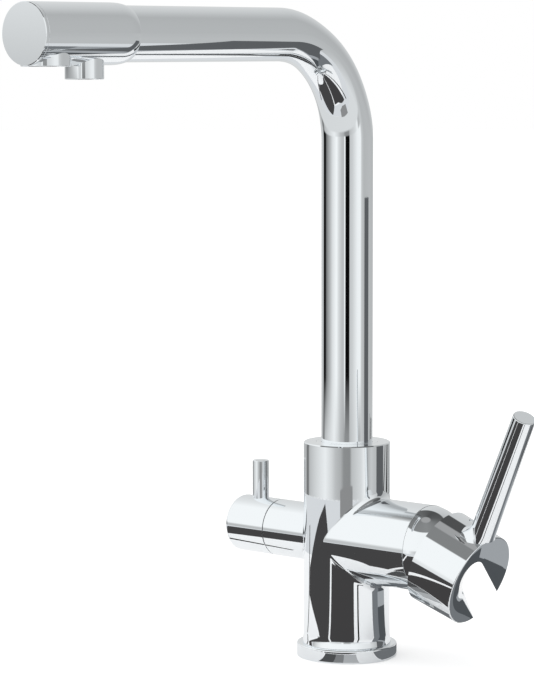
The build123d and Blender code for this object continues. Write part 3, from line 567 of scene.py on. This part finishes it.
# the hub keeps its CAD mesh, welded, with its cone's and its rim's own normals put on
def addHub():
    source = frame["nodes"]["handle_hub"].data
    mesh = bpy.data.meshes.new("handleHub")
    welder = bmesh.new()
    welder.from_mesh(source)
    bmesh.ops.remove_doubles(welder, verts=welder.verts, dist=2e-6)
    welder.to_mesh(mesh)
    welder.free()
    mesh.materials.clear()
    mesh.materials.append(materials["chrome"])
    mesh.shade_smooth()
    mesh.set_sharp_from_angle(angle=math.radians(20))
    count = len(mesh.loops)
    corner = np.zeros(count, np.int32)
    mesh.loops.foreach_get("vertex_index", corner)
    places = np.zeros(len(mesh.vertices) * 3)
    mesh.vertices.foreach_get("co", places)
    local = toHandle(places.reshape(-1, 3) / millimetre)
    normals = np.zeros(count * 3)
    mesh.corner_normals.foreach_get("vector", normals)
    normals = normals.reshape(-1, 3)
    sides = np.zeros(len(mesh.polygons), np.int32)
    mesh.polygons.foreach_get("loop_total", sides)
    faceOf = np.repeat(np.arange(len(sides)), sides)
    faceNormals = np.zeros(len(sides) * 3)
    mesh.polygons.foreach_get("normal", faceNormals)
    faceNormals = (faceNormals.reshape(-1, 3) @ handleSpin)[faceOf]
    at = local[corner]
    distance = np.hypot(at[:, 1], at[:, 2])
    spoke = np.stack((0 * distance, at[:, 1] / distance, at[:, 2] / distance), -1)
    coneNormal = spoke - np.array((hubTaper, 0, 0))
    coneNormal /= np.linalg.norm(coneNormal, axis=1)[:, None]
    coneRadius = hub["startRadius"] + hubTaper * (at[:, 0] - hub["start"])
    facing = (faceNormals * coneNormal).sum(1) > 0.985
    onCone = (abs(distance - coneRadius) < 0.03) & facing
    # the rim is a quarter ring of the hub's edge radius
    ringCentre = np.array((hub["end"] - hub["edge"], hub["endRadius"] - hub["edge"]))
    offset = np.stack((at[:, 0], distance), -1) - ringCentre
    past = (offset > 0.02).all(1)
    onRim = (abs(np.linalg.norm(offset, axis=1) - hub["edge"]) < 0.06) & past
    rimNormal = offset[:, 0:1] * np.array((1, 0, 0)) + offset[:, 1:2] * spoke
    rimNormal /= np.linalg.norm(rimNormal, axis=1)[:, None]
    onRim &= (faceNormals * rimNormal).sum(1) > 0.8
    normals = np.where(onCone[:, None], coneNormal @ handleSpin.T, normals)
    normals = np.where(onRim[:, None], rimNormal @ handleSpin.T, normals)
    mesh.normals_split_custom_set(normals.tolist())
    obj = bpy.data.objects.new("handleHub", mesh)
    scene.collection.objects.link(obj)
    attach(obj, "handle")
    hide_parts("handle_hub")


addHub()

lever = {"root": 26.3, "lean": 6.0, "length": 91.3, "rootRadius": 6.3, "tipRadius": 5.4, "edge": 0.4,
         "flare": 8.0, "sink": 2.5}
leverSeat = hub["startRadius"] + hubTaper * (lever["root"] - hub["start"])
leverSeat /= math.cos(math.radians(lever["lean"]))


# the lever is a stack of circles; near its foot they grow by flare*(1 - sin a)/2 towards the arm only
def addLever():
    low, foot = leverSeat - 2 * lever["sink"], leverSeat - lever["sink"]
    bend = np.linspace(0, np.pi / 2, 17)
    footHigh = foot + lever["flare"] * (1 - np.cos(bend))
    footGrow = lever["flare"] * (1 - np.sin(bend)) / 2
    beforeTip, inset = 0.05, 0.1
    straight = np.linspace(foot + lever["flare"], lever["length"] - lever["edge"] - beforeTip, 40)[1:]
    high = np.concatenate(((low,), footHigh, straight))
    grow = np.concatenate(((lever["flare"] / 2,), footGrow, 0 * straight))
    share = (high - low) / (lever["length"] - low)
    radius = lever["rootRadius"] + (lever["tipRadius"] - lever["rootRadius"]) * share + grow
    tip = rounded([(radius[-1], high[-1], 0), (lever["tipRadius"], lever["length"], lever["edge"]),
                   (0, lever["length"], 0)], closed=False)[2:]
    radius = np.concatenate(((0,), radius, tip[:, 0]))
    high = np.concatenate(((low,), high, tip[:, 1]))
    middle = np.concatenate(((-lever["flare"] / 2,), -grow, 0 * tip[:, 0]))
    angle = np.linspace(0, 2 * np.pi, 128, endpoint=False)
    x = middle[:, None] + radius[:, None] * np.cos(angle)
    y = radius[:, None] * np.sin(angle)
    z = high[:, None] + 0 * angle
    points = np.stack((x, y, z), -1) @ spun((0, 1, 0), lever["lean"]).T
    points = points + np.array((lever["root"], 0, 0))
    # below the hub's skin nothing stands past the hub's end
    inside = np.hypot(points[..., 1], points[..., 2]) < hub["endRadius"] - inset
    points[..., 0] = np.where(inside, np.minimum(points[..., 0], hub["end"] - inset), points[..., 0])
    addPiece("handleLever", "handle", "chrome", [(fromHandle(points), False, True)], ["handle_lever"])


addLever()
print("stage: handle")


# camera
view = {"azimuth": 41.587, "elevation": 5.925, "roll": -0.095,
        "across": 39.201, "above": -152.405, "away": 1400.874, "focal": 2847.224, "longSide": 688}
azimuth, elevation, roll = (math.radians(view[key]) for key in ("azimuth", "elevation", "roll"))
level = math.cos(elevation)
back = np.array((math.sin(azimuth) * level, -math.cos(azimuth) * level, math.sin(elevation)))
flatRight = np.array((math.cos(azimuth), math.sin(azimuth), 0))
flatUp = np.cross(back, flatRight)
cameraRight = flatRight * math.cos(roll) + flatUp * math.sin(roll)
cameraUp = -flatRight * math.sin(roll) + flatUp * math.cos(roll)
eye = -(view["across"] * cameraRight + view["above"] * cameraUp - view["away"] * back) * millimetre
cameraData = bpy.data.cameras.new("photoCamera")
cameraData.sensor_width = 36
cameraData.lens = view["focal"] * cameraData.sensor_width / view["longSide"]
cameraData.clip_start, cameraData.clip_end = 0.05, 40
camera = bpy.data.objects.new("photoCamera", cameraData)
turning = np.eye(4)
turning[:3, 0], turning[:3, 1], turning[:3, 2], turning[:3, 3] = cameraRight, cameraUp, back, eye
camera.matrix_world = Matrix(turning.tolist())
scene.collection.objects.link(camera)
scene.camera = camera
scene.view_settings.view_transform = "Standard"


# the room: walls as tones round the horizon, a floor, cards that only the plating sees, one soft lamp
def tone(value):
    return value ** 2.2


# bearing in degrees from the camera, growing to the right, with the wall's tone there
farFloorTones = [(-180, 0.86), (60, 0.88), (90, 0.75), (150, 0.75), (180, 0.86)]
wallsLow = [
    (-180, 0.80), (-140, 0.70), (-133, 0.45), (-127, 0.45), (-120, 0.74), (-90, 0.86), (-61, 0.96),
    (-43, 0.86), (-32, 0.76), (-18, 0.70), (-10, 0.57), (6, 0.56), (11, 0.76), (36, 0.87), (48, 0.98),
    (54, 0.70), (66, 0.80), (79, 0.75), (112, 0.74), (150, 0.80), (180, 0.80)]
walls = [
    (-180, 0.78), (-152, 0.80), (-133, 0.74), (-131, 0.10), (-114, 0.08), (-109, 0.45), (-100, 0.58),
    (-85, 0.73), (-70, 0.90), (-50, 1.0), (-40, 0.88), (-26, 0.77), (-16, 0.75), (-14, 1.0),
    (-10.5, 0.96), (-9, 0.08), (8, 0.06), (9.5, 0.80), (20, 0.82), (45, 0.97), (60, 0.98),
    (66, 0.80), (78, 0.73), (119, 0.75), (135, 0.73), (180, 0.78)]
ceiling = [
    (-180, 0.86), (-150, 0.92), (-120, 1.0), (-40, 1.0), (20, 0.98), (60, 0.90), (90, 0.73),
    (120, 0.71), (150, 0.80), (180, 0.86)]
overhead = [
    (-180, 0.38), (-120, 0.48), (-55, 0.52), (0, 0.55), (60, 0.50), (120, 0.36), (158, 0.32), (180, 0.38)]
world = bpy.data.worlds.new("studio")
scene.world = world
world.use_nodes = True
tree = world.node_tree
tree.nodes.clear()
direction = tree.nodes.new("ShaderNodeTexCoord")
split = tree.nodes.new("ShaderNodeSeparateXYZ")
tree.links.new(direction.outputs["Generated"], split.inputs[0])
x, y, z = split.outputs
bearingSine = math2(tree, "ADD", math2(tree, "MULTIPLY", x, math.cos(azimuth)),
                    math2(tree, "MULTIPLY", y, math.sin(azimuth)))
bearingCosine = math2(tree, "SUBTRACT", math2(tree, "MULTIPLY", x, math.sin(azimuth)),
                      math2(tree, "MULTIPLY", y, math.cos(azimuth)))
bearing = math2(tree, "ARCTAN2", bearingSine, bearingCosine)
bearing = math2(tree, "ADD", math2(tree, "DIVIDE", bearing, 2 * math.pi), 0.5)


# the walls are a little cool
wallRed = 0.985


def toneRamp(stops):
    ramp = tree.nodes.new("ShaderNodeValToRGB")
    colours = ramp.color_ramp.elements
    last = len(stops) - 1
    for index, (degrees, value) in enumerate(stops):
        inner = 0 < index < last
        element = colours.new(degrees / 360 + 0.5) if inner else colours[-1 if index else 0]
        brightness = tone(value)
        element.color = (brightness * wallRed, brightness, brightness, 1)
    tree.links.new(bearing, ramp.inputs[0])
    return ramp.outputs[0]


def mixColour(factor, first, second):
    mixer = tree.nodes.new("ShaderNodeMix")
    mixer.data_type = "RGBA"
    for index, value in ((0, factor), (6, first), (7, second)):
        if hasattr(value, "links"):
            tree.links.new(value, mixer.inputs[index])
        else:
            mixer.inputs[index].default_value = value
    return mixer.outputs[2]


def ramped(value, low, high):
    span = tree.nodes.new("ShaderNodeMapRange")
    span.inputs["From Min"].default_value = low
    span.inputs["From Max"].default_value = high
    tree.links.new(value, span.inputs["Value"])
    return span.outputs[0]


# each belt of the room takes over from the one below between two heights, which are sines of the elevation
belts = ((-0.21, -0.18, wallsLow), (-0.135, -0.115, walls), (-0.03, 0.05, ceiling), (0.765, 0.79, overhead))
studio = toneRamp(farFloorTones)
for low, high, stops in belts:
    studio = mixColour(ramped(z, low, high), studio, toneRamp(stops))
zenith = tone(0.64)
studio = mixColour(ramped(z, 0.982, 0.99), studio, (zenith, zenith, zenith, 1))
fillStrength = 0.9
path = tree.nodes.new("ShaderNodeLightPath")
mirror = math2(tree, "MAXIMUM", path.outputs["Is Glossy Ray"], path.outputs["Is Transmission Ray"])
seen = mixColour(mirror, (1.0, 1.0, 1.0, 1), studio)
background = tree.nodes.new("ShaderNodeBackground")
tree.links.new(seen, background.inputs["Color"])
direct = math2(tree, "MAXIMUM", path.outputs["Is Camera Ray"], mirror)
fill = math2(tree, "MULTIPLY", math2(tree, "SUBTRACT", 1.0, direct), fillStrength)
strength = math2(tree, "ADD", fill, direct)
tree.links.new(strength, background.inputs["Strength"])
output = tree.nodes.new("ShaderNodeOutputWorld")
tree.links.new(background.outputs[0], output.inputs[0])


def stagePiece(name, points, faces, material):
    mesh = bpy.data.meshes.new(name)
    mesh.from_pydata((np.array(points, float) * millimetre).tolist(), [], faces)
    mesh.materials.append(material)
    obj = bpy.data.objects.new(name, mesh)
    scene.collection.objects.link(obj)
    return obj


# the floor is pale, keeps the object's soft shadow and otherwise matches the white behind it
floorMaterial = bpy.data.materials.new("paleFloor")
floorMaterial.use_nodes = True
floorTree = floorMaterial.node_tree
floorShader = floorTree.nodes["Principled BSDF"]
floorShader.inputs["Base Color"].default_value = (0.93, 0.93, 0.93, 1)
floorShader.inputs["Roughness"].default_value = 0.9
floorShader.inputs["Specular IOR Level"].default_value = 0.0
lift = floorTree.nodes.new("ShaderNodeLightPath")
floorLift = 0.30
liftAmount = math2(floorTree, "MULTIPLY", lift.outputs["Is Camera Ray"], floorLift)
floorShader.inputs["Emission Color"].default_value = (1, 1, 1, 1)
floorTree.links.new(liftAmount, floorShader.inputs["Emission Strength"])
# plating sees the floor only up to the room's walls; past them it is there for the camera and the shadow
floorEdge, floorFar, floorSides = 520, 9000, 96
rimAngles = np.linspace(0, 2 * np.pi, floorSides, endpoint=False)
floorFaces = gridFaces(2, floorSides, False, True, 0).tolist()


def addFloor(name, near, far):
    points = ringOf(rimAngles, np.array(((near, 0), (far, 0))))
    return stagePiece(name, points.reshape(-1, 3), floorFaces, floorMaterial)


addFloor("floorNear", 0, floorEdge)
addFloor("floorFar", floorEdge, floorFar).visible_glossy = False


def cardMaterial(name, value, tint):
    material = bpy.data.materials.new(name)
    material.use_nodes = True
    cardTree = material.node_tree
    cardTree.nodes.clear()
    glow = cardTree.nodes.new("ShaderNodeEmission")
    glow.inputs["Color"].default_value = (*[tone(value) * share for share in tint], 1)
    end = cardTree.nodes.new("ShaderNodeOutputMaterial")
    cardTree.links.new(glow.outputs[0], end.inputs[0])
    return material


# a card is seen only in the plating
def addCardMesh(name, points, value, tint):
    card = stagePiece(name, points.reshape(-1, 3), gridFaces(*points.shape[:2], False, False, 0).tolist(),
                      cardMaterial(name, value, tint))
    card.visible_camera = False
    card.visible_diffuse = False
    card.visible_transmission = False
    card.visible_volume_scatter = False
    card.visible_shadow = False


def towards(bearing):
    angle = np.radians(bearing + view["azimuth"])
    return np.stack((np.sin(angle), -np.cos(angle), 0 * angle), -1)


# cards on the floor, as rows of (bearing, near, far) in degrees and millimetres
plain, cardHigh, cardColumns = (1, 1, 1), 0.4, 33
cards = {
    "cardLeft": {
        "rows": ((-114, 172, 254), (-100, 140, 330), (-80, 100, 430), (-60, 52, 500), (-45, 46, 300)),
        "tone": 0.28, "tint": (1.0, 0.97, 0.98)},
    "cardFront": {"rows": ((-41, 46, 285), (-20, 46, 275), (0, 46, 330), (16, 48, 350)), "tone": 0.27,
                  "tint": (1.0, 0.96, 0.97)},
    "cardDrop": {"rows": ((-19, 400, 560), (-5, 360, 580), (13, 400, 580)), "tone": 0.56, "tint": plain},
    "cardRight": {"rows": ((66, 40, 350), (84, 40, 350)), "tone": 0.47, "tint": (0.94, 1.0, 1.06)},
    "cardBack": {"rows": ((84, 40, 146), (111, 40, 146)), "tone": 0.33, "tint": (0.92, 1.0, 1.08)},
    "cardFar": {"rows": ((84, 146, 350), (111, 146, 350)), "tone": 0.64, "tint": (0.96, 1.0, 1.04)},
    "cardPale": {"rows": ((-180, 300, 519), (180, 300, 519)), "tone": 0.87, "tint": (0.98, 1.0, 1.02),
                 "high": 0.2},
    # the four ring cards are painted shade: darker sheets right round the base ring that stand in for the
    # floor's shade there, which the ring's plating reflects
    "ringLeft": {"rows": ((-38, 26, 45), (-19, 26, 45)), "tone": 0.32, "tint": (0.98, 1.0, 1.02)},
    "ringFront": {"rows": ((-19, 26, 45), (-6, 26, 45)), "tone": 0.50, "tint": (0.98, 1.0, 1.02)},
    "ringMiddle": {"rows": ((-6, 26, 45), (14, 26, 45)), "tone": 0.68, "tint": (0.98, 1.0, 1.02)},
    "ringRight": {"rows": ((46, 26, 46), (150, 26, 46)), "tone": 0.44, "tint": (0.95, 1.0, 1.05)},
    "cardEdge": {"rows": ((-117.5, 70, 400), (-114.5, 70, 400)), "tone": 0.05, "tint": plain},
    "cardLine": {"rows": ((24.5, 70, 400), (28, 70, 400)), "tone": 0.08, "tint": plain},
}


for name, card in cards.items():
    given = np.array(card["rows"], float)
    bearings = np.linspace(given[0, 0], given[-1, 0], cardColumns)
    reach = np.stack([np.interp(bearings, given[:, 0], given[:, column]) for column in (1, 2)])
    points = reach[..., None] * towards(bearings) + np.array((0, 0, card.get("high", cardHigh)))
    addCardMesh(name, points, card["tone"], card["tint"])

# a dark standing screen behind the tap on the right, low enough for most of the spout to look over it
screen = {"bearing": (79.5, 106), "radius": 200, "low": 1, "high": 215, "tone": 0.38, "tint": (0.96, 1.0, 1.04)}
screenFoot = towards(np.linspace(*screen["bearing"], 17)) * screen["radius"]
screenPoints = screenFoot[None] + np.array((screen["low"], screen["high"]))[:, None, None] * np.array(up)
addCardMesh("darkScreen", screenPoints, screen["tone"], screen["tint"])

# long strips behind the tap, which draw the thin lines along the spout's underside: x from and to, tone
strips = {"stripOne": (228, 262, 0.25), "stripTwo": (50, 135, 0.22), "stripThree": (-62, -25, 0.12)}
stripNear, stripFar, stripHigh = 300, 900, 0.8
for name, (low, high, value) in strips.items():
    corners = [[(x, y, stripHigh) for x in (low, high)] for y in (stripNear, stripFar)]
    addCardMesh(name, np.array(corners), value, plain)

softBox = {"watts": 6.0, "size": (1.2, 0.9), "place": (-0.5, -0.7, 1.5), "aim": (0, 0, 0.1)}
lampData = bpy.data.lights.new("softBox", "AREA")
lampData.shape = "RECTANGLE"
lampData.size, lampData.size_y = softBox["size"]
lampData.energy = softBox["watts"]
lamp = bpy.data.objects.new("softBox", lampData)
lamp.location = softBox["place"]
lamp.rotation_euler = (Vector(softBox["aim"]) - lamp.location).to_track_quat("-Z", "Y").to_euler()
lamp.visible_glossy = False
scene.collection.objects.link(lamp)
print("stage: room")
